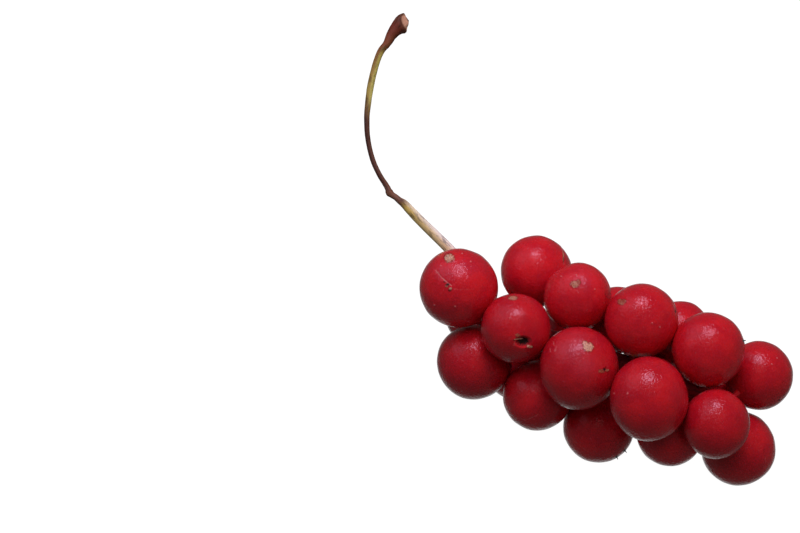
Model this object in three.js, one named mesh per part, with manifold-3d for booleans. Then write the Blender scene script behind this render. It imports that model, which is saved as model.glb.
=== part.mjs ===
// A schisandra berry cluster, as picked, lying on a level surface.
//
// A woody fruit stalk grows on into a fleshy receptacle. Ripe berries stand around the receptacle
// on short stipes, so close together that they press flats into each other, and a few carpels
// that never swelled sit between them. Millimetres, +Z up, +X along the receptacle.

import * as THREE from "three";
import { mergeVertices } from "three/addons/utils/BufferGeometryUtils.js";
import Module from "manifold-3d";

const wasm = await Module();
wasm.setup();

// Where pieces meet
const CONTACT_GAP = 0.3;

// Height of the receptacle's centre line over the surface. The lowest berries settle a little
// into it, and are flat there.
const RECEPTACLE_HEIGHT = 9.6;

// Berries in four rows around the receptacle, each as [station, angle, reach, diameter].
// The station runs along the receptacle from where the stalk meets the fruit. The angle in
// degrees is counted from straight up, with the front positive. The reach is from the
// receptacle's centre line to the middle of the berry.
const BERRY_ROWS = {
  top: [
    [4.1, 12, 5.9, 8.6],
    [11.7, 33, 6.5, 7.6],
    [16.5, -23, 6.5, 7.4],
    [24.1, -16.5, 6.8, 8.0],
    [31.9, -18, 5.8, 8.0],
  ],
  front: [
    [7.7, 100, 5.4, 8.2],
    [15.3, 114.5, 6.3, 7.6],
    [19.6, 50, 6.4, 8.8],
    [28.1, 52.5, 7.6, 8.8],
    [30.3, 124.5, 5.4, 7.2],
    [35.4, 67, 4.9, 7.4],
  ],
  under: [
    [4.5, -150, 5.5, 6.5],
    [11.0, 172.5, 6.2, 7.4],
    [15.2, -142.5, 7.6, 7.6],
    [22.3, 140, 7.7, 7.8],
    [25.2, -156.5, 5.4, 7.8],
    [31.5, -149.5, 7.0, 7.8],
    [37.4, 163, 6.0, 8.1],
  ],
  back: [
    [10.4, -61.5, 6.6, 7.8],
    [20.5, -86, 5.1, 7.3],
    [27.4, -78.5, 5.7, 6.9],
    [37.0, -100, 5.0, 7.5],
  ],
};
const STIPE_RADIUS = 0.5;
// A stipe's foot is at most this far before the middle of its berry
const STIPE_LEAN = 2.3;

// Undeveloped carpels as [station, angle]
const CARPELS = [
  [11.4, -122],
  [13.6, -150],
  [16.6, -112],
  [31.5, -105],
  [19.0, 150],
  [29.5, -170],
  [21.5, 110],
  [24.5, 95],
];
const CARPEL_LENGTH = 2.2;
const CARPEL_RADIUS = 0.8;

// Centre line of the stalk and the receptacle as [x, y, rise over the receptacle], from the
// pulled-off end, past the kinked joint, to the tip of the receptacle
const STALK_LINE = [
  [-13.3, 26.1, 11.7],
  [-13.7, 25.7, 11.7],
  [-14.1, 25.2, 11.6],
  [-14.4, 24.2, 11.4],
  [-14.5, 23.0, 11.1],
  [-14.8, 22.0, 10.8],
  [-14.8, 20.6, 10.3],
  [-14.7, 19.7, 9.9],
  [-14.4, 18.0, 9.3],
  [-14.0, 16.4, 8.6],
  [-13.3, 14.3, 7.9],
  [-11.9, 11.8, 6.7],
  [-10.1, 9.8, 5.9],
  [-8.5, 8.7, 5.2],
  [-7.9, 8.2, 5.0],
  [-7.2, 8.0, 4.9],
  [-6.6, 7.8, 4.8],
  [-6.1, 7.7, 4.7],
  [-5.4, 7.4, 4.5],
  [-3.9, 6.7, 4.2],
  [0.5, 4.9, 3.2],
  [3.1, 3.6, 2.7],
  [5.0, 2.5, 1.9],
  [7.1, 1.1, 0.8],
  [9.7, 0.2, 0],
  [13.5, 0, 0],
  [24.0, 0, 0],
  [35.2, 0, 0],
];

// Stalk and receptacle radii as [distance from the pulled-off end, radius]
const STALK_RADII = [
  [0, 0.95],
  [0.3, 1.0],
  [1.2, 0.87],
  [2.3, 0.6],
  [3.5, 0.47],
  [4.6, 0.38],
  [7.1, 0.385],
  [8.9, 0.39],
  [10.7, 0.36],
  [13.0, 0.3],
  [16.1, 0.29],
  [18.9, 0.29],
  [20.6, 0.3],
  [21.3, 0.33],
  [21.7, 0.4],
  [22.0, 0.38],
  [22.5, 0.32],
  [23.2, 0.37],
  [23.7, 0.46],
  [24.5, 0.5],
  [26.2, 0.55],
  [31.0, 0.58],
  [34.0, 0.6],
  [37.0, 0.7],
  [39.5, 0.9],
  [42.0, 1.05],
  [46.0, 1.15],
  [56.0, 1.15],
  [62.0, 1.05],
  [65.2, 0.8],
  [67.0, 0.45],
];

// Facets
const BERRY_SIDES = 14;
const BERRY_ARC_STEPS = 9;
const CARPEL_SIDES = 8;
const STALK_SIDES = 10;
const FRAME_STEPS = 400;

const BERRY_SKIN = { color: 0xa3142a, roughness: 0.35, metalness: 0 };
const STALK_BARK = { color: 0x8a6a3c, roughness: 0.8, metalness: 0 };
const CARPEL_SKIN = { color: 0xb3a348, roughness: 0.6, metalness: 0 };

const stalkCurve = new THREE.CatmullRomCurve3(
  STALK_LINE.map(([x, y, rise]) => new THREE.Vector3(x, y, RECEPTACLE_HEIGHT + rise)),
  false,
  "centripetal",
);
const stalkLength = stalkCurve.getLength();

// A closed geometry as a solid: seams and poles merged, triangles without area dropped
function solidOf(geometry) {
  const bare = geometry.clone();
  bare.deleteAttribute("normal");
  bare.deleteAttribute("uv");
  const merged = mergeVertices(bare, 1e-4);
  const corners = merged.index.array;
  const triVerts = [];
  for (let i = 0; i < corners.length; i += 3) {
    const [a, b, c] = corners.slice(i, i + 3);
    if (a !== b && b !== c && c !== a) {
      triVerts.push(a, b, c);
    }
  }
  return new wasm.Manifold(
    new wasm.Mesh({
      numProp: 3,
      vertProperties: new Float32Array(merged.attributes.position.array),
      triVerts: new Uint32Array(triVerts),
    }),
  );
}

function geometryOf(solid) {
  const { vertProperties, triVerts } = solid.getMesh();
  const geometry = new THREE.BufferGeometry();
  geometry.setAttribute("position", new THREE.BufferAttribute(vertProperties, 3));
  geometry.setIndex(new THREE.BufferAttribute(triVerts, 1));
  return geometry;
}

function pieceOf(name, geometry, finish) {
  const flat = geometry.toNonIndexed();
  flat.computeVertexNormals();
  const piece = new THREE.Mesh(flat, new THREE.MeshStandardMaterial(finish));
  piece.name = name;
  return piece;
}

// Turns a shape that stands on +Y to the given direction and moves its origin to a place
function stand(geometry, direction, place) {
  const turn = new THREE.Quaternion().setFromUnitVectors(new THREE.Vector3(0, 1, 0), direction);
  return geometry.applyQuaternion(turn).translate(place.x, place.y, place.z);
}

function outward(angle) {
  const turn = THREE.MathUtils.degToRad(angle);
  return new THREE.Vector3(0, -Math.sin(turn), Math.cos(turn));
}

function onReceptacle(station) {
  return new THREE.Vector3(station, 0, RECEPTACLE_HEIGHT);
}

function stalkRadiusAt(distance) {
  const after = STALK_RADII.findIndex(([mark]) => mark >= distance);
  if (after < 0) {
    return STALK_RADII.at(-1)[1];
  }
  const [from, thin] = STALK_RADII[Math.max(after - 1, 0)];
  const [to, thick] = STALK_RADII[after];
  return to === from ? thick : THREE.MathUtils.mapLinear(distance, from, to, thin, thick);
}

// The place on the stalk's centre line that is closest to a berry, where the berry is attached
function attachment(centre) {
  let nearest = { gap: Infinity };
  for (let i = 0; i <= FRAME_STEPS; i += 1) {
    const along = i / FRAME_STEPS;
    const point = stalkCurve.getPointAt(along);
    const gap = point.distanceTo(centre);
    if (gap < nearest.gap && point.x > centre.x - STIPE_LEAN) {
      nearest = { gap, point, radius: stalkRadiusAt(along * stalkLength) };
    }
  }
  return nearest;
}

// The stalk's round profile, bent to follow the centre line
function makeStalk() {
  const profile = STALK_RADII.map(([distance, radius]) => new THREE.Vector2(radius, distance));
  profile.unshift(new THREE.Vector2(0, 0));
  profile.push(new THREE.Vector2(0, stalkLength));
  const geometry = new THREE.LatheGeometry(profile, STALK_SIDES);
  const frames = stalkCurve.computeFrenetFrames(FRAME_STEPS);
  const position = geometry.attributes.position;
  const corner = new THREE.Vector3();
  for (let i = 0; i < position.count; i += 1) {
    corner.fromBufferAttribute(position, i);
    const along = Math.min(corner.y / stalkLength, 1);
    const frame = Math.round(along * FRAME_STEPS);
    const bent = stalkCurve.getPointAt(along);
    bent.addScaledVector(frames.normals[frame], corner.x);
    bent.addScaledVector(frames.binormals[frame], -corner.z);
    position.setXYZ(i, bent.x, bent.y, bent.z);
  }
  return pieceOf("fruit_stalk", geometryOf(solidOf(geometry)), STALK_BARK);
}

// A round berry on its stipe, with the stipe's foot just clear of the receptacle
function berryBlank({ centre, radius }) {
  const foot = attachment(centre);
  const stipeEnd = Math.max(foot.gap - foot.radius - CONTACT_GAP, radius);
  const startAngle = Math.asin(STIPE_RADIUS / radius);
  const profile = [new THREE.Vector2(0, -stipeEnd), new THREE.Vector2(STIPE_RADIUS, -stipeEnd)];
  for (let i = 0; i <= BERRY_ARC_STEPS; i += 1) {
    const turn = THREE.MathUtils.lerp(startAngle, Math.PI, i / BERRY_ARC_STEPS);
    profile.push(new THREE.Vector2(radius * Math.sin(turn), -radius * Math.cos(turn)));
  }
  profile.at(-1).x = 0;
  const direction = centre.clone().sub(foot.point).normalize();
  return solidOf(stand(new THREE.LatheGeometry(profile, BERRY_SIDES), direction, centre));
}

// A block that fills the far side of a plane, to press a flat with
function blockBeyond(plane, direction, size) {
  const block = new THREE.BoxGeometry(size, size, size).translate(0, size / 2, 0);
  return solidOf(stand(block, direction, plane));
}

// Each berry gives way to the neighbours that it touches and to the surface that it lies on
function pressedBerry(berry, berries) {
  let solid = berryBlank(berry);
  const size = 2 * berry.radius;
  for (const other of berries) {
    const apart = other.centre.clone().sub(berry.centre);
    const distance = apart.length();
    if (other === berry || distance > berry.radius + other.radius + CONTACT_GAP) {
      continue;
    }
    const direction = apart.normalize();
    const shared = (distance ** 2 + berry.radius ** 2 - other.radius ** 2) / (2 * distance);
    const plane = berry.centre.clone().addScaledVector(direction, shared - CONTACT_GAP / 2);
    solid = solid.subtract(blockBeyond(plane, direction, size));
  }
  if (berry.centre.z < berry.radius) {
    const ground = new THREE.Vector3(berry.centre.x, berry.centre.y, 0);
    solid = solid.subtract(blockBeyond(ground, new THREE.Vector3(0, 0, -1), size));
  }
  return geometryOf(solid);
}

function makeBerries() {
  const berries = Object.entries(BERRY_ROWS).flatMap(([row, places]) =>
    places.map(([station, angle, reach, diameter], i) => ({
      name: `${row}_berry_${i + 1}`,
      centre: onReceptacle(station).addScaledVector(outward(angle), reach),
      radius: diameter / 2,
    })),
  );
  return berries.map((berry) => pieceOf(berry.name, pressedBerry(berry, berries), BERRY_SKIN));
}

// A small egg-shaped carpel, narrow at its foot and at its withered tip
function makeCarpel([station, angle], i) {
  const profile = [
    [0, 0],
    [0.45, 0],
    [0.85, 0.25],
    [1, 0.5],
    [0.8, 0.75],
    [0.35, 0.95],
    [0, 1],
  ].map(([width, height]) => new THREE.Vector2(width * CARPEL_RADIUS, height * CARPEL_LENGTH));
  const direction = outward(angle);
  const foot = onReceptacle(station);
  const start = attachment(foot).radius + CONTACT_GAP;
  const blank = new THREE.LatheGeometry(profile, CARPEL_SIDES);
  const geometry = stand(blank, direction, foot.addScaledVector(direction, start));
  return pieceOf(`undeveloped_carpel_${i + 1}`, geometryOf(solidOf(geometry)), CARPEL_SKIN);
}

const cluster = new THREE.Group();
cluster.add(makeStalk(), ...makeBerries(), ...CARPELS.map(makeCarpel));

// The origin is under the middle of the cluster, on the surface that it lies on
const middle = new THREE.Box3().setFromObject(cluster).getCenter(new THREE.Vector3());
cluster.position.set(-middle.x, -middle.y, 0);

export default cluster;
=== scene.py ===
import math
import random

import bmesh
import bpy
import numpy as np
from mathutils import Matrix, Vector


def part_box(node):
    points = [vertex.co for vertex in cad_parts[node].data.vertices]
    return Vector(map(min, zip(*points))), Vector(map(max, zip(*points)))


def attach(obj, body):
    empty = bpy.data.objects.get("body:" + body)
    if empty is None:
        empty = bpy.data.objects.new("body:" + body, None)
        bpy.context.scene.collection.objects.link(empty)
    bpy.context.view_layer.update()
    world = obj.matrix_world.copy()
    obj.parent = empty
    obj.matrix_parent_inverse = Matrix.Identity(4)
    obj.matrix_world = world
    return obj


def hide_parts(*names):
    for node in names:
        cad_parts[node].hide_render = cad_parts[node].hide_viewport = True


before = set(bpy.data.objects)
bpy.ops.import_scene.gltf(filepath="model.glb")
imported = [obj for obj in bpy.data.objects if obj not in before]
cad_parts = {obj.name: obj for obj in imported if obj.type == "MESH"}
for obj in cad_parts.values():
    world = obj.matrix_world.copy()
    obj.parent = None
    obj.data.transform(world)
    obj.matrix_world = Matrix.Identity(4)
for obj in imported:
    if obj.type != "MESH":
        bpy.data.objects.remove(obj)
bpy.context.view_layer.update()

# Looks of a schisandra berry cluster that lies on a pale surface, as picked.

MM = 0.001

# Viewer
VIEW_AZIMUTH = math.radians(22.65)
VIEW_ELEVATION = math.radians(55)
VIEW_DISTANCE = 0.5
SENSOR_WIDTH = 36
PICTURE_WIDTH = 87 * MM
FIRST_BERRY_ACROSS = 6.4 * MM
FIRST_BERRY_DOWN = 2.35 * MM
RIGHT = Vector((math.cos(VIEW_AZIMUTH), math.sin(VIEW_AZIMUTH), 0))
BACK = Vector((
    math.sin(VIEW_AZIMUTH) * math.cos(VIEW_ELEVATION),
    -math.cos(VIEW_AZIMUTH) * math.cos(VIEW_ELEVATION),
    math.sin(VIEW_ELEVATION),
))
UP = BACK.cross(RIGHT)

# Berries
BERRIES = sorted(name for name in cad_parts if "_berry_" in name)
SKIN_DIVISIONS = 6
MIN_RADIUS = 3 * MM
MAX_RADIUS = 5 * MM
BALL_TRIES = 600
BALL_TOLERANCE = 0.005 * MM
LUMP_SIZE = 3.5 * MM
LUMP_HEIGHT = 0.2 * MM
STIPE_RADIUS = 0.5 * MM
STIPE_REACH = 0.45 * MM
PRESSED_GAP = 0.02 * MM
# How much taller than wide a berry looks from the viewer's side
TALLER = {"front_berry_3": 1.05, "front_berry_4": 1.08, "front_berry_6": 1.04, "top_berry_5": 1.03}
# How much darker than the ripest scarlet a berry is, from 0 to 1
USUAL_DARKER = 0.08
DARKER = {
    "top_berry_1": 0.04, "top_berry_2": 0.22, "top_berry_3": 0.04, "top_berry_5": 0.12,
    "front_berry_1": 0.22, "front_berry_2": 0.12, "front_berry_3": 0.28, "front_berry_4": 0.2,
    "front_berry_6": 0.28, "under_berry_1": 0.18, "under_berry_7": 0.24, "back_berry_1": 0,
    "back_berry_4": 0.2,
}

# Marks of the berries, at (across, up) from the middle of the berry as the viewer sees it. Places and
# half sizes are in berry radii.
#   cork: across, up, half width, half height, paleness
#   dark: across, up, half width, half height, strength
#   pits: across, up, half width, half height
#   dots: across, up
#   scratches: strength, then the places that the scratch runs through
#   stubs: across, up of a withered style that stands out of the skin
#   bloom_and_sheen: across, up, half width, half height of a duller patch, painted paler pink as painted
#       sheen where the highlight falls
MARKS = {
    "top_berry_1": {
        "cork": [
            (-0.25, 0.76, 0.1, 0.09, 0.8),
            (-0.22, -0.01, 0.035, 0.03, 0.7),
            (-0.32, 0.05, 0.03, 0.02, 0.5),
        ],
        "dark": [
            (-0.3, 0.1, 0.05, 0.035, 1.0),
            (-0.37, 0.15, 0.03, 0.03, 0.7),
            (-0.24, -0.06, 0.05, 0.03, 0.7),
        ],
        "dots": [(0.08, 0.87), (0.29, 0.67), (-0.46, 0.57), (-0.11, -0.45), (-0.62, -0.42)],
        "scratches": [
            (0.7, (-0.59, 0.45), (-0.5, 0.34), (-0.42, 0.25)),
            (1.0, (-0.42, 0.25), (-0.33, 0.17), (-0.2, 0.07)),
            (0.5, (-0.61, 0.38), (-0.52, 0.4)),
            (0.3, (-0.2, -0.01), (0.1, -0.03), (0.35, -0.02)),
        ],
        "bloom_and_sheen": [(-0.1, 0.5, 0.5, 0.2)],
    },
    "top_berry_2": {
        "cork": [
            (-0.09, 0.86, 0.11, 0.05, 0.5),
            (0.08, -0.31, 0.13, 0.03, 0.75),
            (0.38, -0.51, 0.07, 0.03, 0.8),
            (0.03, -0.18, 0.05, 0.04, 0.2),
        ],
        "dark": [(-0.15, 0.29, 0.035, 0.035, 0.45)],
        "dots": [(-0.2, 0.3)],
        "pits": [(0.18, -0.37, 0.19, 0.13)],
        "scratches": [(0.4, (-0.05, -0.36), (-0.09, -0.47)), (0.2, (-0.25, -0.28), (-0.12, -0.3))],
    },
    "top_berry_3": {
        "cork": [(-0.12, 0.37, 0.1, 0.08, 0.5), (-0.02, 0.43, 0.06, 0.06, 0.2)],
        "dark": [(0.78, 0.08, 0.018, 0.09, 0.5), (0.79, -0.15, 0.018, 0.08, 0.5)],
        "dots": [(0.46, 0.23), (-0.5, 0.6), (-0.06, 0.64)],
        "scratches": [(0.25, (0.74, 0.15), (0.75, -0.2)), (0.3, (-0.27, 0.3), (-0.2, 0.22), (-0.05, 0.2))],
        "bloom_and_sheen": [(0.1, 0.5, 0.3, 0.25)],
    },
    "top_berry_4": {
        "cork": [
            (-0.6, 0.51, 0.06, 0.06, 0.25),
            (-0.5, 0.53, 0.05, 0.045, 0.15),
            (-0.55, 0.46, 0.04, 0.03, 0.35),
        ],
        "dark": [(0.9, 0.27, 0.016, 0.1, 0.7)],
        "dots": [(0.24, -0.05), (0.45, -0.16)],
        "scratches": [(0.6, (0.84, 0.45), (0.88, 0.33), (0.91, 0.18))],
    },
    "top_berry_5": {
        "scratches": [(0.2, (0.32, 0.62), (0.42, 0.57))],
        "stubs": [(0.97, 0.25)],
    },
    "front_berry_1": {
        "scratches": [(0.15, (-0.41, 0.1), (0.04, -0.15))],
    },
    "front_berry_2": {
        "scratches": [(0.4, (-0.77, -0.57), (-0.34, -0.69), (0, -0.51))],
    },
    "front_berry_3": {
        "cork": [
            (0.12, 0.62, 0.05, 0.05, 0.8),
            (0.2, 0.53, 0.1, 0.09, 0.85),
            (0.52, -0.05, 0.06, 0.04, 0.3),
            (0.65, -0.03, 0.05, 0.03, 0.35),
        ],
        "dark": [(0.59, -0.01, 0.04, 0.04, 1.0), (0.63, 0.04, 0.03, 0.02, 0.7)],
        "scratches": [
            (0.5, (-0.64, 0.66), (-0.63, 0.58)),
            (0.45, (-0.72, 0.5), (-0.71, 0.42)),
            (0.45, (-0.56, 0.54), (-0.61, 0.43)),
            (0.35, (0.02, -0.78), (0.02, -0.88)),
        ],
        "bloom_and_sheen": [(-0.12, 0.5, 0.3, 0.35), (0.1, 0.1, 0.25, 0.25)],
    },
    "front_berry_4": {
        "dark": [(0.79, -0.33, 0.035, 0.035, 0.5)],
        "dots": [(-0.56, 0.16), (-0.87, 0.15)],
    },
    "back_berry_1": {
        "cork": [(0.75, 0.42, 0.02, 0.12, 0.5)],
        "dark": [(0.76, 0.33, 0.02, 0.1, 0.7)],
        "scratches": [(0.5, (0.73, 0.68), (0.75, 0.5), (0.76, 0.2))],
    },
    "back_berry_4": {
        "dark": [(0.69, -0.56, 0.05, 0.03, 0.7), (0.54, -0.7, 0.06, 0.03, 0.7)],
        "dots": [(0.47, 0.52), (0.3, 0.35)],
    },
    "under_berry_1": {
        "scratches": [(0.5, (-0.75, -0.35), (-0.5, -0.5))],
    },
    "under_berry_4": {
        "scratches": [
            (0.3, (-0.79, -0.31), (-0.5, -0.55), (-0.19, -0.75)),
            (0.25, (-0.1, 0.16), (0.03, 0.23), (0.14, 0.16)),
            (0.2, (-0.3, -0.2), (-0.1, -0.6)),
        ],
        "stubs": [(0.5, -0.84), (0.73, -0.66)],
    },
    "under_berry_7": {
        "scratches": [
            (0.35, (0.69, -0.19), (0.67, -0.51)),
            (0.5, (0.95, 0.27), (0.96, -0.05), (0.75, -0.6)),
        ],
    },
}
DOT_SIZE = 0.019
SCRATCH_WIDTH = 0.016
SCRATCH_DEPTH = 0.04 * MM
CORK_HEIGHT = 0.1 * MM
PIT_DEPTH = 0.55 * MM
STUB_WIDTH = 0.06
STUB_LENGTH = 0.24 * MM
STUB_FOOT = 0.1 * MM
MARK_KINDS = ("cork", "cork_tone", "dark", "pit", "dots", "lines", "bloom_and_sheen")

# Fruit stalk and receptacle, from the pulled-off end to the tip of the receptacle: the centre line
# counted from the middle of the first top berry, and radii as (distance, radius), in millimetres
STALK_LINE = [
    (-17.4, 27.3, 5.9), (-17.8, 26.9, 5.9), (-18.2, 26.4, 5.8), (-18.5, 25.4, 5.6), (-18.6, 24.2, 5.3),
    (-18.9, 23.2, 5.0), (-18.9, 21.8, 4.5), (-18.8, 20.9, 4.1), (-18.5, 19.2, 3.5), (-18.1, 17.6, 2.8),
    (-17.4, 15.5, 2.1), (-16.0, 13.0, 0.9), (-14.2, 11.0, 0.1), (-12.6, 9.9, -0.6), (-12.0, 9.4, -0.8),
    (-11.3, 9.2, -0.9), (-10.7, 9.0, -1.0), (-10.2, 8.9, -1.1), (-9.5, 8.6, -1.3), (-8.0, 7.9, -1.6),
    (-3.6, 6.1, -2.6), (-1.0, 4.8, -3.1), (0.9, 3.7, -3.9), (3.0, 2.3, -5.0), (5.6, 1.4, -5.8),
    (9.4, 1.2, -5.8), (19.9, 1.2, -5.8), (31.1, 1.2, -5.8),
]
STALK_RADII = [
    (0, 0.95), (0.3, 1.0), (1.2, 0.87), (2.3, 0.6), (3.5, 0.47), (4.6, 0.38), (7.1, 0.385),
    (8.9, 0.39), (10.7, 0.36), (13.0, 0.3), (16.1, 0.29), (18.9, 0.29), (20.6, 0.3), (21.3, 0.33),
    (21.6, 0.41), (21.8, 0.42), (21.95, 0.37), (22.5, 0.32), (23.2, 0.37), (23.7, 0.46), (24.5, 0.5),
    (26.2, 0.55), (31.0, 0.58), (34.0, 0.6), (37.0, 0.7), (39.5, 0.9), (42.0, 1.05), (46.0, 1.15),
    (51.0, 1.15), (56.0, 1.15), (62.0, 1.05), (65.2, 0.8), (67.0, 0.45), (67.4, 0.15),
]
STALK_SIDES = 24
# How rough the bark is along the stalk, as (distance, share of its full height)
BARK_ROUGHNESS = [
    (0, 1), (4, 0.7), (6, 0.3), (20, 0.3), (21.5, 0.5), (23, 0.4), (26, 0.25), (36, 0.3), (42, 1),
]
BARK_HEIGHT = 0.16 * MM
BARK_LUMPS = 0.5 * MM
BREAK_REACH = 2 * MM
BROKEN_WOOD_REACH = 0.75 * MM

# Undeveloped carpels
CARPEL_RADIUS = 0.8 * MM
CARPEL_STRETCH = 1.3
CARPEL_TIP = 0.25 * MM
CARPEL_FOOT = 0.45 * MM


def srgb(red, green, blue):
    """A colour of the usual 0 to 255 steps as linear light."""
    return (*((step / 255) ** 2.2 for step in (red, green, blue)), 1)


# Colours along the stalk on its left side and on its right side: partly the bark's own tones, partly
# painted shade that darkens the left side and painted light that lightens the right side
LEFT_BARK_AND_SHADE = [
    (0, srgb(92, 66, 46)), (1.6, srgb(112, 52, 36)), (4.0, srgb(130, 74, 44)),
    (5.2, srgb(138, 98, 52)), (9.5, srgb(176, 158, 78)), (11.5, srgb(120, 92, 52)),
    (13.0, srgb(74, 46, 34)), (20.5, srgb(80, 50, 38)), (21.8, srgb(116, 80, 62)),
    (23.2, srgb(120, 84, 66)), (24.3, srgb(206, 180, 92)), (29.0, srgb(228, 204, 148)),
    (34.0, srgb(232, 190, 158)), (38.0, srgb(190, 90, 70)), (42.0, srgb(150, 30, 40)),
]
RIGHT_BARK_AND_LIGHT = [
    (0, srgb(100, 70, 50)), (1.6, srgb(100, 48, 36)), (4.0, srgb(124, 78, 46)),
    (5.2, srgb(176, 168, 84)), (10.0, srgb(206, 204, 112)), (11.5, srgb(146, 124, 72)),
    (13.0, srgb(92, 62, 46)), (20.5, srgb(104, 70, 52)), (21.8, srgb(126, 84, 60)),
    (23.2, srgb(150, 118, 92)), (24.3, srgb(240, 230, 190)), (29.0, srgb(250, 246, 232)),
    (34.0, srgb(248, 226, 208)), (38.0, srgb(190, 90, 70)), (42.0, srgb(150, 30, 40)),
]

# Colours of the skin and its marks, of the bark and of the carpels
CRIMSON = (0.54, 0.008, 0.021, 1)
SCARLET = (0.69, 0.012, 0.021, 1)
SPECK_RED = (0.72, 0.03, 0.07, 1)
DEEP_RED = (0.16, 0.003, 0.008, 1)
# Painted sheen: the pink that the duller patches are lightened towards where the highlight falls
PAINTED_SHEEN_PINK = (0.6, 0.16, 0.26, 1)
HALO_RED = (0.13, 0.008, 0.01, 1)
SCRATCH_PINK = (0.76, 0.22, 0.22, 1)
DARK_CORK = srgb(160, 84, 44)
PALE_CORK = srgb(226, 176, 148)
CORK_SPECK = srgb(104, 48, 32)
PIT_BROWN = srgb(40, 24, 20)
BARK_FLECK = srgb(56, 32, 22)
BROKEN_WOOD = srgb(205, 158, 128)
CARPEL_OLIVE = (0.32, 0.28, 0.05, 1)
CARPEL_YELLOW = (0.55, 0.46, 0.14, 1)
WITHERED_BROWN = (0.06, 0.03, 0.015, 1)

# Grain of the skin and the bark, in cells per metre
MOTTLE_GRAIN = 450
SPECKLE_GRAIN = 3800
CRUMB_GRAIN = 9000
CELL_GRAIN = 5200
PORE_GRAIN = 3400
BARK_PATCH_GRAIN = 900
BARK_FLECK_GRAIN = 2600
CARPEL_GRAIN = 1800
# Depths of the grain
SKIN_GRAIN_DEPTH = 0.03 * MM
SHINE_GRAIN_DEPTH = 0.07 * MM
BARK_GRAIN_DEPTH = 0.05 * MM
CARPEL_GRAIN_DEPTH = 0.04 * MM
# The bark's grain is drawn out along the stalk
BARK_STRETCH = (0.3, 1, 1)

# Light
KEY_POWER = 1.25
TOP_POWER = 2.4
COOL_POWER = 0.7
WARM_POWER = 0.5
FROM_BELOW = 0.28
FROM_AROUND = 0.07
MIRRORED_BELOW = 0.6
MIRRORED_AROUND = 0.09
FLOOR_GLOW = 1.0
FLOOR_GREY = (0.08, 0.08, 0.08, 1)
LIGHT_AIM = Vector((8 * MM, -8 * MM, 10 * MM))
KEY_COLOUR = (1, 0.68, 0.98)
TOP_COLOUR = (1, 0.98, 0.98)
COOL_COLOUR = (0.7, 0.72, 1)
WARM_COLOUR = (1, 0.7, 0.55)
# How far under the line of sight the pale surface is mirrored in the rims of the berries
BEHIND_ANGLE = math.radians(12)

chance = random.Random(7)


# Working in edit mode

def begin():
    bpy.ops.object.select_all(action="DESELECT")


def named(name):
    piece = bpy.context.active_object
    piece.name = name
    piece.data.name = name
    return piece


def edit():
    bpy.ops.object.mode_set(mode="EDIT")
    bpy.ops.mesh.select_mode(type="VERT")


def leave():
    bpy.ops.object.mode_set(mode="OBJECT")


def pick(piece, test):
    """Selects the corners of a piece in edit mode that pass a test, and says how many did."""
    mesh = bmesh.from_edit_mesh(piece.data)
    for corner in mesh.verts:
        corner.select = test(corner.co)
    mesh.select_flush_mode()
    bmesh.update_edit_mesh(piece.data)
    return sum(corner.select for corner in mesh.verts)


def apply_modifier(kind, **settings):
    """Adds a modifier to the active piece, sets it and applies it."""
    modifier = bpy.context.active_object.modifiers.new(kind.title(), kind)
    for key, value in settings.items():
        setattr(modifier, key, value)
    bpy.ops.object.modifier_apply(modifier=modifier.name)


def axes_towards(direction):
    """A turn that brings Z to a direction, as a matrix that is its own transpose."""
    middle = (Vector((0, 0, 1)) + direction).normalized()
    turn = Matrix([[2 * a * b for b in middle] for a in middle])
    return turn - Matrix.Identity(3)


def squash_flat(direction, place):
    """Flattens what is selected onto the plane through a place, square to a direction."""
    bpy.ops.transform.resize(
        value=(1, 1, 0), orient_type="GLOBAL", orient_matrix=axes_towards(direction),
        orient_matrix_type="GLOBAL", center_override=place,
    )


def paint(piece, name, values):
    attribute = piece.data.attributes.new(name, "FLOAT", "POINT")
    attribute.data.foreach_set("value", np.asarray(values, np.float32))


def corners_of(piece):
    places = np.zeros(3 * len(piece.data.vertices), np.float32)
    piece.data.vertices.foreach_get("co", places)
    return places.reshape(-1, 3).astype(float)


def raise_by(piece, weights, height, **settings):
    """Moves the skin outwards by a height where the weights are 1, and less where they are less."""
    group = piece.vertex_groups.new(name="raised")
    for i in np.nonzero(weights > 0.002)[0]:
        group.add([int(i)], float(weights[i]), "REPLACE")
    apply_modifier("DISPLACE", strength=height, vertex_group=group.name, **settings)
    piece.vertex_groups.clear()


def cloud(name, size, depth=2):
    texture = bpy.data.textures.new(name, "CLOUDS")
    texture.noise_scale = size
    texture.noise_depth = depth
    return texture


# Materials

def new_finish(name):
    material = bpy.data.materials.new(name)
    material.use_nodes = True
    return material, material.node_tree, material.node_tree.nodes["Principled BSDF"]


def add(tree, kind, inputs=None, **settings):
    """Adds a node, with its settings and with its inputs set to values or linked to sockets."""
    made = tree.nodes.new(kind)
    for key, value in settings.items():
        setattr(made, key, value)
    for socket, value in (inputs or {}).items():
        if isinstance(value, bpy.types.NodeSocket):
            tree.links.new(value, made.inputs[socket])
        else:
            made.inputs[socket].default_value = value
    return made


def painted(tree, name):
    return add(tree, "ShaderNodeAttribute", attribute_name=name).outputs["Fac"]


def mixed(tree, share, first, second):
    """A colour that goes from the first to the second as the share goes from 0 to 1."""
    made = add(tree, "ShaderNodeMix", {0: share, 6: first, 7: second}, data_type="RGBA")
    return made.outputs[2]


def maths(tree, operation, first, second):
    return add(tree, "ShaderNodeMath", {0: first, 1: second}, operation=operation).outputs[0]


def ramp(tree, value, low, high, to_low=0.0, to_high=1.0):
    """A value taken smoothly from one range to another."""
    return add(
        tree, "ShaderNodeMapRange",
        {"Value": value, "From Min": low, "From Max": high, "To Min": to_low, "To Max": to_high},
        interpolation_type="SMOOTHSTEP",
    ).outputs["Result"]


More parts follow.
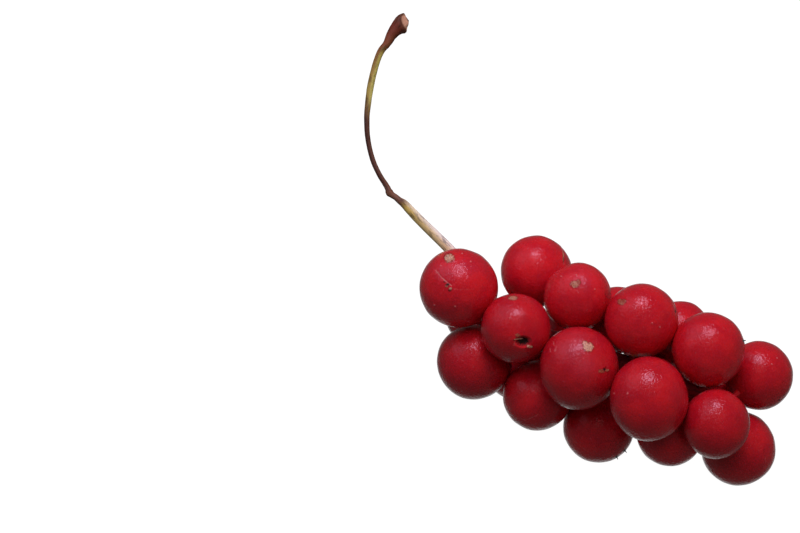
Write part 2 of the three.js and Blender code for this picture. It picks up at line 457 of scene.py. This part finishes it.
def swing(tree, grain, reach):
    """A grain of 0 to 1 as a swing to either side of 0."""
    return maths(tree, "MULTIPLY", maths(tree, "SUBTRACT", grain, 0.5), reach)


def noise(tree, place, scale, detail=2.0, rough=0.5):
    return add(
        tree, "ShaderNodeTexNoise",
        {"Vector": place, "Scale": scale, "Detail": detail, "Roughness": rough},
    ).outputs["Fac"]


def cells(tree, place, scale):
    return add(
        tree, "ShaderNodeTexVoronoi", {"Vector": place, "Scale": scale}, feature="SMOOTH_F1"
    ).outputs["Distance"]


def berry_finish():
    """Ripe skin: crimson with scarlet mottling, finely grained, with corky, dark and pale marks, and paler
    patches of painted sheen where the highlight falls.
    """
    material, tree, skin = new_finish("ripe_skin")
    place = add(tree, "ShaderNodeTexCoord").outputs["Object"]
    mottle = noise(tree, place, MOTTLE_GRAIN, 4, 0.6)
    speckle = noise(tree, place, SPECKLE_GRAIN, 3, 0.6)
    crumbs = noise(tree, place, CRUMB_GRAIN, 3, 0.6)
    bloom_and_sheen = painted(tree, "bloom_and_sheen")
    colour = mixed(tree, ramp(tree, mottle, 0.3, 0.7), CRIMSON, SCARLET)
    colour = mixed(tree, ramp(tree, speckle, 0.5, 0.85, 0, 0.14), colour, SPECK_RED)
    colour = mixed(tree, painted(tree, "darker"), colour, DEEP_RED)
    # Painted sheen: a paler pink patch on some berries where the highlight falls
    colour = mixed(tree, maths(tree, "MULTIPLY", bloom_and_sheen, 0.1), colour, PAINTED_SHEEN_PINK)
    ragged = maths(tree, "ADD", speckle, maths(tree, "MULTIPLY", crumbs, 0.7))
    ragged = maths(tree, "SUBTRACT", ragged, 0.85)
    halo = ramp(tree, painted(tree, "cork"), 0.02, 0.4)
    cork = ramp(tree, maths(tree, "ADD", painted(tree, "cork"), ragged), 0.3, 0.45)
    dark = ramp(tree, maths(tree, "ADD", painted(tree, "dark"), ragged), 0.2, 0.75)
    pale = ramp(tree, maths(tree, "ADD", painted(tree, "pale"), ragged), 0.1, 1.0)
    tan = mixed(tree, painted(tree, "cork_tone"), DARK_CORK, PALE_CORK)
    tan = mixed(tree, ramp(tree, crumbs, 0.5, 0.64, 0, 0.8), tan, CORK_SPECK)
    colour = mixed(tree, maths(tree, "MULTIPLY", halo, 0.55), colour, HALO_RED)
    colour = mixed(tree, maths(tree, "MULTIPLY", pale, 0.85), colour, SCRATCH_PINK)
    shown = ramp(tree, painted(tree, "cork_tone"), 0.1, 0.8, 0.5, 1.0)
    colour = mixed(tree, maths(tree, "MULTIPLY", cork, shown), colour, tan)
    colour = mixed(tree, dark, colour, PIT_BROWN)
    rough = ramp(tree, mottle, 0.3, 0.7, 0.22, 0.3)
    rough = maths(tree, "ADD", rough, maths(tree, "MULTIPLY", bloom_and_sheen, 0.05))
    dull = maths(tree, "MAXIMUM", maths(tree, "MAXIMUM", cork, dark), pale)
    rough = add(tree, "ShaderNodeMix", {0: dull, 2: rough, 3: 0.8}).outputs[0]
    grain = maths(tree, "ADD", cells(tree, place, CELL_GRAIN), maths(tree, "MULTIPLY", speckle, 0.5))
    bump = add(tree, "ShaderNodeBump", {"Strength": 0.8, "Distance": SKIN_GRAIN_DEPTH, "Height": grain})
    pores = maths(tree, "ADD", cells(tree, place, PORE_GRAIN), maths(tree, "MULTIPLY", speckle, 0.7))
    shine = add(tree, "ShaderNodeBump", {"Strength": 1.0, "Distance": SHINE_GRAIN_DEPTH, "Height": pores})
    tree.links.new(colour, skin.inputs["Base Color"])
    tree.links.new(rough, skin.inputs["Roughness"])
    tree.links.new(bump.outputs["Normal"], skin.inputs["Normal"])
    tree.links.new(shine.outputs["Normal"], skin.inputs["Coat Normal"])
    skin.inputs["Subsurface Weight"].default_value = 0.25
    skin.inputs["Subsurface Radius"].default_value = (1.0, 0.12, 0.08)
    skin.inputs["Subsurface Scale"].default_value = 0.8 * MM
    skin.inputs["Specular IOR Level"].default_value = 0.16
    skin.inputs["Coat Weight"].default_value = 0.6
    skin.inputs["Coat Roughness"].default_value = 0.1
    skin.inputs["Coat IOR"].default_value = 1.45
    return material


def stalk_finish():
    """Bark: brown knob, green-striped run, brown run to the joint, pale lower run, red receptacle, with
    painted shade on its left side and painted light on its right side.
    """
    material, tree, bark = new_finish("stalk_bark")
    along = painted(tree, "along")
    side = painted(tree, "side")
    straight = add(tree, "ShaderNodeAttribute", attribute_name="straight").outputs["Vector"]
    place = add(
        tree, "ShaderNodeVectorMath", {0: straight, 1: BARK_STRETCH}, operation="MULTIPLY"
    ).outputs[0]
    fleck = noise(tree, place, BARK_FLECK_GRAIN, 4, 0.65)
    patch = noise(tree, place, BARK_PATCH_GRAIN, 3, 0.6)
    wander = maths(tree, "ADD", along, swing(tree, patch, 1.6))
    # The side facing right gets lighter colours as painted light, the other side darker ones as painted
    # shade, on top of the bark's own two tones
    shaded_left_colour = along_bands(tree, wander, LEFT_BARK_AND_SHADE)
    lit_right_colour = along_bands(tree, wander, RIGHT_BARK_AND_LIGHT)
    turned = maths(tree, "ADD", side, swing(tree, fleck, 0.8))
    colour = mixed(tree, ramp(tree, turned, -0.25, 0.45), shaded_left_colour, lit_right_colour)
    colour = mixed(tree, ramp(tree, fleck, 0.46, 0.66, 0, 0.6), colour, BARK_FLECK)
    broken = maths(tree, "ADD", painted(tree, "broken"), swing(tree, fleck, 0.7))
    colour = mixed(tree, ramp(tree, broken, 0.35, 0.75), colour, BROKEN_WOOD)
    bump = add(tree, "ShaderNodeBump", {"Strength": 0.7, "Distance": BARK_GRAIN_DEPTH, "Height": fleck})
    tree.links.new(colour, bark.inputs["Base Color"])
    tree.links.new(bump.outputs["Normal"], bark.inputs["Normal"])
    bark.inputs["Roughness"].default_value = 0.6
    bark.inputs["Specular IOR Level"].default_value = 0.35
    return material


def along_bands(tree, along, bands):
    """A colour that changes along the stalk, from a list of distances and colours."""
    length = STALK_RADII[-1][0]
    band = add(tree, "ShaderNodeValToRGB", {"Fac": maths(tree, "DIVIDE", along, length)})
    points = band.color_ramp.elements
    for i, (distance, colour) in enumerate(bands):
        point = points[i] if i < 2 else points.new(distance / length)
        point.position = distance / length
        point.color = colour
    return band.outputs["Color"]


def carpel_finish():
    """Dull yellow-green skin, browned towards the withered tip."""
    material, tree, skin = new_finish("carpel_skin")
    place = add(tree, "ShaderNodeTexCoord").outputs["Object"]
    fleck = noise(tree, place, CARPEL_GRAIN, 4, 0.6)
    tip = maths(tree, "ADD", painted(tree, "tip"), swing(tree, fleck, 0.5))
    colour = mixed(tree, fleck, CARPEL_OLIVE, CARPEL_YELLOW)
    colour = mixed(tree, ramp(tree, tip, 0.75, 0.95), colour, WITHERED_BROWN)
    tree.links.new(colour, skin.inputs["Base Color"])
    bump = add(tree, "ShaderNodeBump", {"Strength": 0.4, "Distance": CARPEL_GRAIN_DEPTH, "Height": fleck})
    tree.links.new(bump.outputs["Normal"], skin.inputs["Normal"])
    skin.inputs["Roughness"].default_value = 0.55
    return material


# Berries

def ball_through(corners):
    """Middle and radius of the ball whose surface passes closest to some corners."""
    terms = np.column_stack([2 * corners, np.ones(len(corners))])
    answer = np.linalg.lstsq(terms, (corners ** 2).sum(1), rcond=None)[0]
    middle = answer[:3]
    return middle, math.sqrt(max(answer[3] + middle @ middle, 0))


def ball_of(node):
    """Middle, radius and stipe foot of a berry, from the corners of its CAD node."""
    corners = np.array([corner.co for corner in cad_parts[node].data.vertices], float)
    corners = np.unique(np.round(corners, 7), axis=0)
    on_ball = []
    for i in range(BALL_TRIES):
        middle, radius = ball_through(corners[chance.sample(range(len(corners)), 4)])
        away = np.linalg.norm(corners - middle, axis=1)
        near = np.abs(away - radius) < BALL_TOLERANCE
        if MIN_RADIUS < radius < MAX_RADIUS and near.sum() > len(on_ball):
            on_ball = corners[near]
    middle, radius = ball_through(on_ball)
    away = np.linalg.norm(corners - middle, axis=1)
    foot = corners[away > 1.003 * radius].mean(0)
    return Vector(middle), radius, Vector(foot)


BALLS = {node: ball_of(node) for node in BERRIES}


def seen_place(node, across, up):
    """The place on a berry's skin that the viewer sees at (across, up), from the berry's middle."""
    middle, radius, foot = BALLS[node]
    towards = math.sqrt(max(0.0, 1 - across ** 2 - up ** 2))
    return radius * (RIGHT * across + UP * up + BACK * towards)


def far_marks():
    """Seeded marks for the side of a berry that the viewer doesn't see, as seen from behind."""
    def somewhere():
        return chance.uniform(-0.6, 0.6), chance.uniform(-0.6, 0.6)

    start = somewhere()
    end = (start[0] + chance.uniform(-0.4, 0.4), start[1] + chance.uniform(-0.2, 0.2))
    return {
        "cork": [(*somewhere(), chance.uniform(0.05, 0.12), 0.08, chance.uniform(0.1, 0.7))],
        "dots": [somewhere() for i in range(chance.randint(1, 4))],
        "scratches": [(chance.uniform(0.15, 0.6), start, end)],
    }


def mark_places(node, marks):
    """Places on a berry that need a finer mesh, each with how far the fine mesh reaches."""
    middle, radius, foot = BALLS[node]
    places = []
    for kind in ("cork", "pits", "dark"):
        for across, up, wide, tall, *strength in marks.get(kind, []):
            places.append((seen_place(node, across, up), (1.9 * max(wide, tall) + 0.05) * radius))
    for across, up in marks.get("dots", []):
        places.append((seen_place(node, across, up), 3 * DOT_SIZE * radius))
    for across, up in marks.get("stubs", []):
        places.append((seen_place(node, across, up), 2 * STUB_WIDTH * radius))
    for strength, *line in marks.get("scratches", []):
        for start, end in zip(line, line[1:]):
            for step in range(9):
                at = [a + step / 8 * (b - a) for a, b in zip(start, end)]
                places.append((seen_place(node, *at), 4 * SCRATCH_WIDTH * radius))
    return places


def seen_from_front(node, corners):
    """Corners as (across, up, towards) from the middle of the berry, in berry radii."""
    middle, radius, foot = BALLS[node]
    turn = np.array([RIGHT, UP, BACK]).T
    return ((corners - np.array(middle)) @ turn) / radius


def spot_field(seen, across, up, wide, tall):
    """1 in the middle of a spot, falling to 0 at nearly twice its half size."""
    away = np.hypot((seen[:, 0] - across) / wide, (seen[:, 1] - up) / tall)
    return np.where(seen[:, 2] > -0.1, np.clip(1 - 0.55 * away, 0, 1), 0)


def line_field(seen, line):
    """1 on a line, falling to 0 at twice the width of a scratch on either side."""
    field = np.zeros(len(seen))
    for start, end in zip(line, line[1:]):
        start, end = np.array(start), np.array(end)
        run = end - start
        share = np.clip(((seen[:, :2] - start) @ run) / (run @ run), 0, 1)
        away = np.linalg.norm(seen[:, :2] - start - share[:, None] * run, axis=1)
        field = np.maximum(field, np.clip(1 - away / (2 * SCRATCH_WIDTH), 0, 1))
    return np.where(seen[:, 2] > -0.1, field, 0)


def press_flats(piece, node):
    """Flattens a berry where it meets its neighbours and the surface that it lies on."""
    middle, radius, foot = BALLS[node]
    for other, (place, reach, other_foot) in BALLS.items():
        apart = place - middle
        if other == node or apart.length > radius + reach + PRESSED_GAP:
            continue
        shared = (apart.length ** 2 + radius ** 2 - reach ** 2) / (2 * apart.length)
        flatten_beyond(piece, middle, apart.normalized(), shared - PRESSED_GAP / 2)
    flatten_beyond(piece, middle, Vector((0, 0, -1)), middle.z)


def flatten_beyond(piece, middle, direction, distance):
    if pick(piece, lambda corner: corner.dot(direction) > distance):
        squash_flat(direction, middle + direction * distance)


def draw_stipe(piece, node):
    """Draws the short fleshy foot out of the berry, down to the receptacle."""
    middle, radius, foot = BALLS[node]
    direction = (foot - middle).normalized()
    wide = math.cos(math.asin(STIPE_RADIUS / radius))
    pick(piece, lambda corner: corner.dot(direction) > wide * corner.length)
    length = (foot - middle).length + STIPE_REACH - radius
    for share, size in ((0.3, 0.8), (0.4, 0.9), (0.3, 1.2)):
        bpy.ops.mesh.extrude_region_move(
            TRANSFORM_OT_translate={"value": direction * (length * share)}
        )
        bpy.ops.transform.resize(value=(size, size, size))


def draw_stub(piece, node, across, up):
    """Draws a withered style out of the skin as a short crooked stub."""
    place = seen_place(node, across, up)
    direction = place.normalized()
    pick(piece, lambda corner: (corner - place).length < STUB_FOOT)
    for turn in (0.4, 0.7):
        step = (direction + UP * chance.uniform(-turn, turn)) * STUB_LENGTH / 2
        bpy.ops.mesh.extrude_region_move(TRANSFORM_OT_translate={"value": step})
        bpy.ops.transform.resize(value=(0.6, 0.6, 0.6))


def make_berry(node, finish, lumps, crumbs):
    middle, radius, foot = BALLS[node]
    marks = MARKS.get(node, {})
    behind = far_marks()
    begin()
    bpy.ops.mesh.primitive_ico_sphere_add(
        subdivisions=SKIN_DIVISIONS, radius=radius, location=middle
    )
    piece = named("ripe_" + node)
    places = mark_places(node, marks)
    places += [(across_berry(place), reach) for place, reach in mark_places(node, behind)]
    edit()
    pick(piece, lambda corner: any((corner - place).length < reach for place, reach in places))
    bpy.ops.mesh.subdivide(number_cuts=2)
    leave()
    apply_modifier("CAST", cast_type="SPHERE", factor=1, radius=radius, use_radius_as_size=True)
    edit()
    if node in TALLER:
        bpy.ops.mesh.select_all(action="SELECT")
        slim = 1 / math.sqrt(TALLER[node])
        bpy.ops.transform.resize(value=(slim, slim, slim), center_override=middle)
        bpy.ops.transform.resize(
            value=(1, 1, TALLER[node]), orient_type="GLOBAL", orient_matrix=axes_towards(UP),
            orient_matrix_type="GLOBAL", center_override=middle,
        )
    leave()
    apply_modifier(
        "DISPLACE", strength=LUMP_HEIGHT, texture=lumps, texture_coords="GLOBAL", mid_level=0.5
    )
    edit()
    press_flats(piece, node)
    draw_stipe(piece, node)
    for across, up in marks.get("stubs", []):
        draw_stub(piece, node, across, up)
    leave()
    bpy.ops.object.transform_apply(location=True, rotation=False, scale=False)
    paint_marks(piece, node, [marks, behind], crumbs)
    bpy.ops.object.shade_smooth()
    piece.data.materials.append(finish)
    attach(piece, "root")
    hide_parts(node)


def across_berry(place):
    """The place that a viewer from behind sees where the viewer in front sees the given one."""
    return place - 2 * RIGHT * place.dot(RIGHT) - 2 * BACK * place.dot(BACK)


def paint_marks(piece, node, marks_by_side, crumbs):
    """Raises, sinks and paints the marks of a berry, those in front and those behind."""
    seen = seen_from_front(node, corners_of(piece))
    count = len(seen)
    fields = {kind: np.zeros(count) for kind in MARK_KINDS}
    for marks, side in zip(marks_by_side, (seen, seen * (-1, 1, -1))):
        for *spot, paleness in marks.get("cork", []):
            field = spot_field(side, *spot)
            fields["cork_tone"] = np.where(field > fields["cork"], paleness, fields["cork_tone"])
            fields["cork"] = np.maximum(fields["cork"], field)
        for *spot, strength in marks.get("dark", []):
            fields["dark"] = np.maximum(fields["dark"], strength * spot_field(side, *spot))
        for spot in marks.get("pits", []):
            fields["pit"] = np.maximum(fields["pit"], np.clip(2 * spot_field(side, *spot) - 0.5, 0, 1))
        for spot in marks.get("dots", []):
            fields["dots"] = np.maximum(fields["dots"], spot_field(side, *spot, DOT_SIZE, DOT_SIZE))
        for spot in marks.get("stubs", []):
            field = 1.2 * spot_field(side, *spot, STUB_WIDTH, STUB_WIDTH)
            fields["dark"] = np.maximum(fields["dark"], field)
        for strength, *line in marks.get("scratches", []):
            fields["lines"] = np.maximum(fields["lines"], strength * line_field(side, line))
        # Patches of painted sheen, where the highlight falls
        for spot in marks.get("bloom_and_sheen", []):
            fields["bloom_and_sheen"] = np.maximum(fields["bloom_and_sheen"], spot_field(side, *spot))
    if fields["pit"].any():
        raise_by(piece, fields["pit"], -PIT_DEPTH, mid_level=0)
    raise_by(piece, fields["lines"], -SCRATCH_DEPTH, mid_level=0)
    raised = np.clip(2 * np.maximum(fields["cork"], fields["dots"]), 0, 1)
    raise_by(piece, raised, CORK_HEIGHT, mid_level=0.2, texture=crumbs, texture_coords="GLOBAL")
    paint(piece, "cork", fields["cork"])
    paint(piece, "cork_tone", fields["cork_tone"])
    paint(piece, "dark", np.maximum(fields["dark"], np.where(fields["cork"] > 0.3, 0, fields["pit"])))
    paint(piece, "pale", np.maximum(fields["dots"], fields["lines"]))
    paint(piece, "bloom_and_sheen", fields["bloom_and_sheen"])
    paint(piece, "darker", np.full(count, DARKER.get(node, USUAL_DARKER)))


# Fruit stalk

def seen_on_stalk(start, across, up):
    """A place beside a point of the stalk's line, moved as the viewer sees it, in millimetres."""
    return stalk_point(start) + (RIGHT * across + UP * up) * MM


def stalk_point(i):
    return BALLS["top_berry_1"][0] + Vector(STALK_LINE[i]) * MM


def make_stalk(finish):
    begin()
    bpy.ops.mesh.primitive_circle_add(
        vertices=STALK_SIDES, radius=STALK_RADII[0][1] * MM, fill_type="NGON",
        rotation=(0, math.radians(90), 0),
    )
    piece = named("whole_fruit_stalk")
    bpy.ops.object.transform_apply(location=True, rotation=True, scale=True)
    edit()
    bpy.ops.mesh.select_all(action="SELECT")
    for (start, before), (end, after) in zip(STALK_RADII, STALK_RADII[1:]):
        bpy.ops.mesh.extrude_region_move(
            TRANSFORM_OT_translate={"value": ((end - start) * MM, 0, 0)}
        )
        size = after / before
        bpy.ops.transform.resize(value=(1, size, size), center_override=(end * MM, 0, 0))
    bpy.ops.mesh.select_all(action="SELECT")
    bpy.ops.mesh.normals_make_consistent(inside=False)
    leave()
    apply_modifier("SUBSURF", levels=2, render_levels=2)
    straight = corners_of(piece)
    along = straight[:, 0] / MM
    paint(piece, "along", along)
    attribute = piece.data.attributes.new("straight", "FLOAT_VECTOR", "POINT")
    attribute.data.foreach_set("vector", straight.astype(np.float32).ravel())
    lumps = cloud("bark", BARK_LUMPS, 3)
    roughness = np.interp(along, *zip(*BARK_ROUGHNESS))
    raise_by(piece, roughness, BARK_HEIGHT, mid_level=0.5, texture=lumps, texture_coords="GLOBAL")
    bpy.ops.curve.primitive_bezier_curve_add()
    line = named("stalk_line")
    line.data.dimensions = "3D"
    line.data.resolution_u = 24
    spline = line.data.splines[0]
    spline.bezier_points.add(len(STALK_LINE) - 2)
    for i, point in enumerate(spline.bezier_points):
        point.co = stalk_point(i)
        point.handle_left_type = "AUTO"
        point.handle_right_type = "AUTO"
    begin()
    piece.select_set(True)
    bpy.context.view_layer.objects.active = piece
    apply_modifier("CURVE", object=line, deform_axis="POS_X")
    bpy.data.objects.remove(line)
    break_end(piece)
    # Which way each corner faces across the view, for the painted light and shade of the bark
    normals = np.zeros(3 * len(piece.data.vertices), np.float32)
    piece.data.vertices.foreach_get("normal", normals)
    paint(piece, "side", normals.reshape(-1, 3) @ np.array(RIGHT))
    bpy.ops.object.shade_smooth()
    piece.data.materials.append(finish)
    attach(piece, "root")
    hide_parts("fruit_stalk")


def break_end(piece):
    """Breaks the pulled-off end obliquely, with a notch and two lips, and steps the joint."""
    outward = (stalk_point(0) - stalk_point(1)).normalized()
    facing = (outward * 0.65 + BACK * 0.75 + UP * 0.1).normalized()
    plane = stalk_point(0) - (outward * 0.15 - BACK * 0.25) * MM
    edit()
    pick(piece, lambda corner: (corner - plane).dot(facing) > 0 and (corner - plane).length < BREAK_REACH)
    squash_flat(facing, plane)
    leave()
    corners = corners_of(piece)
    off_plane = np.abs((corners - np.array(plane)) @ np.array(facing))
    away = np.linalg.norm(corners - np.array(plane), axis=1)
    torn = np.clip(1.5 - away / BROKEN_WOOD_REACH, 0, 1)
    paint(piece, "broken", np.where(off_plane < 0.01 * MM, torn, 0))
    edit()
    move_near(piece, seen_on_stalk(0, -0.6, 0.3), 0.7, UP * 0.3)
    move_near(piece, seen_on_stalk(0, 0, -0.75), 0.4, outward * -0.3)
    move_near(piece, seen_on_stalk(0, 0.1, 0), 0.35, RIGHT * 0.15)
    move_near(piece, seen_on_stalk(14, -0.35, -0.1), 0.2, RIGHT * -0.05 - UP * 0.03)
    leave()


def move_near(piece, place, reach, way):
    """Moves the corners near a place and draws those around them along, in millimetres."""
    if pick(piece, lambda corner: (corner - place).length < reach * MM):
        bpy.ops.transform.translate(
            value=way * MM, use_proportional_edit=True, proportional_edit_falloff="SMOOTH",
            proportional_size=1.5 * reach * MM,
        )


# Undeveloped carpels

def make_carpel(node, finish):
    low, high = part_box(node)
    middle = (low + high) / 2
    receptacle = stalk_point(-1)
    line_place = Vector((middle.x, receptacle.y, receptacle.z))
    direction = (middle - line_place).normalized()
    begin()
    bpy.ops.mesh.primitive_uv_sphere_add(
        segments=24, ring_count=16, radius=CARPEL_RADIUS, location=middle
    )
    piece = named("small_" + node)
    edit()
    bpy.ops.mesh.select_all(action="SELECT")
    bpy.ops.transform.resize(
        value=(1, 1, CARPEL_STRETCH), orient_type="GLOBAL", orient_matrix=axes_towards(direction),
        orient_matrix_type="GLOBAL", center_override=middle,
    )
    pick(piece, lambda corner: corner.dot(direction) > 0.97 * MM)
    for size in (0.7, 0.5):
        bpy.ops.mesh.extrude_region_move(TRANSFORM_OT_translate={"value": direction * CARPEL_TIP})
        bpy.ops.transform.resize(value=(size, size, size))
    pick(piece, lambda corner: corner.dot(direction) < -0.93 * MM)
    bpy.ops.mesh.extrude_region_move(TRANSFORM_OT_translate={"value": direction * -CARPEL_FOOT})
    leave()
    apply_modifier("SUBSURF", levels=1, render_levels=1)
    bpy.ops.object.transform_apply(location=True, rotation=False, scale=False)
    height = (corners_of(piece) - np.array(middle)) @ np.array(direction) / (1.1 * MM)
    paint(piece, "tip", height)
    bpy.ops.object.shade_smooth()
    piece.data.materials.append(finish)
    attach(piece, "root")
    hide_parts(node)


# Stage

def make_floor():
    begin()
    bpy.ops.mesh.primitive_plane_add(size=8)
    floor = named("pale_floor")
    material, tree, surface = new_finish("pale_floor")
    surface.inputs["Base Color"].default_value = FLOOR_GREY
    surface.inputs["Roughness"].default_value = 0.9
    surface.inputs["Specular IOR Level"].default_value = 0.1
    surface.inputs["Emission Color"].default_value = (1, 1, 1, 1)
    surface.inputs["Emission Strength"].default_value = FLOOR_GLOW
    floor.data.materials.append(material)
    floor.visible_diffuse = False
    floor.visible_glossy = False


def soft_light(name, direction, distance, size, power, colour, glints=True):
    bpy.ops.object.light_add(type="AREA")
    light = named(name)
    light.data.shape = "DISK"
    light.data.size = size
    light.data.energy = power
    light.data.color = colour
    light.location = LIGHT_AIM + direction.normalized() * distance
    light.rotation_euler = direction.to_track_quat("Z", "Y").to_euler()
    light.visible_camera = False
    light.visible_glossy = glints


def make_light():
    above = UP * 0.84 + BACK * 0.54
    upper_left = UP * 0.7 - RIGHT * 0.6 + BACK * 0.4
    right = RIGHT * 0.9 + UP * 0.2 + BACK * 0.4
    soft_light("key_light", above, 0.6, 0.24, KEY_POWER, KEY_COLOUR)
    soft_light("top_light", Vector((0, 0, 1)), 0.7, 0.7, TOP_POWER, TOP_COLOUR, False)
    soft_light("cool_light", upper_left, 0.7, 0.7, COOL_POWER, COOL_COLOUR)
    soft_light("warm_light", right, 0.7, 0.3, WARM_POWER, WARM_COLOUR, False)
    world = bpy.data.worlds.new("studio")
    bpy.context.scene.world = world
    world.use_nodes = True
    tree = world.node_tree
    direction = add(tree, "ShaderNodeTexCoord").outputs["Generated"]
    height = add(tree, "ShaderNodeSeparateXYZ", {"Vector": direction}).outputs["Z"]
    spread = ramp(tree, height, -0.9, 0.2, FROM_BELOW, FROM_AROUND)
    behind = -BACK * math.cos(BEHIND_ANGLE) - UP * math.sin(BEHIND_ANGLE)
    facing = add(tree, "ShaderNodeVectorMath", {0: direction, 1: behind}, operation="DOT_PRODUCT")
    mirrored = ramp(tree, facing.outputs["Value"], 0.84, 0.99, MIRRORED_AROUND, MIRRORED_BELOW)
    in_mirror = add(tree, "ShaderNodeLightPath").outputs["Is Glossy Ray"]
    glow = add(tree, "ShaderNodeMix", {0: in_mirror, 2: spread, 3: mirrored}).outputs[0]
    background = tree.nodes["Background"]
    background.inputs["Color"].default_value = (1, 1, 1, 1)
    tree.links.new(glow, background.inputs["Strength"])


def make_camera():
    """Looks at the cluster as the picture does, with the first top berry at its place in it."""
    bpy.ops.object.camera_add()
    camera = named("viewer")
    camera.data.sensor_width = SENSOR_WIDTH
    camera.data.lens = SENSOR_WIDTH * VIEW_DISTANCE / PICTURE_WIDTH
    aim = BALLS["top_berry_1"][0] - RIGHT * FIRST_BERRY_ACROSS + UP * FIRST_BERRY_DOWN
    camera.location = aim + BACK * VIEW_DISTANCE
    camera.rotation_euler = BACK.to_track_quat("Z", "Y").to_euler()
    camera.data.clip_start = 0.01
    bpy.context.scene.camera = camera


make_camera()
make_floor()
make_light()
bpy.context.scene.view_settings.view_transform = "Standard"

ripe_skin = berry_finish()
berry_lumps = cloud("berry_lumps", LUMP_SIZE)
cork_crumbs = cloud("cork_crumbs", 0.2 * MM)
for berry in BERRIES:
    make_berry(berry, ripe_skin, berry_lumps, cork_crumbs)
make_stalk(stalk_finish())
carpel_skin = carpel_finish()
for carpel in sorted(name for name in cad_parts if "carpel" in name):
    make_carpel(carpel, carpel_skin)
